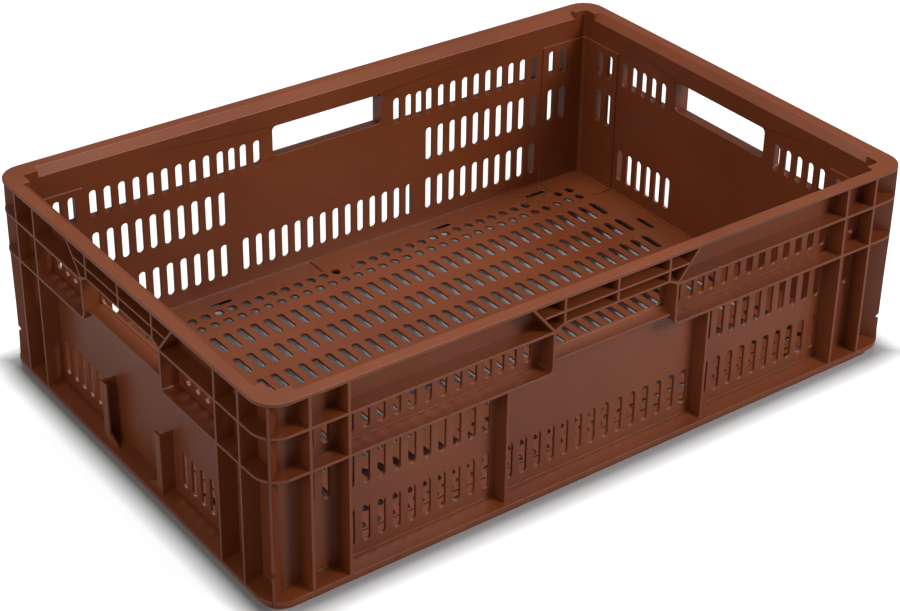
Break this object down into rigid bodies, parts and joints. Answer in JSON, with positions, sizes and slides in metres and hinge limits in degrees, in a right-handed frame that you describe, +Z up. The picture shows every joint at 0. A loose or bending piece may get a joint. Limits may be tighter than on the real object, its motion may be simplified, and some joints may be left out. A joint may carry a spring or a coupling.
{
  "type": "plastic stacking crate",
  "caption": "Low open-topped stacking crate moulded in one piece, with slotted walls and floor, ribbed outside, a hand hold in every side and a card holder on one short side.",
  "frame": {"origin": "middle of the footprint, on the ground under the foot ring", "axes": "+X along the long side, +Y along the short side, +Z up out of the open top; the card holder is on the -X side"},
  "size_m": [0.6, 0.4, 0.175],
  "materials": {
    "crate": "satin, brown, with a fine moulding grain"
  },
  "bodies": {
    "root": {"crate": "crate"}
  },
  "joints": []
}
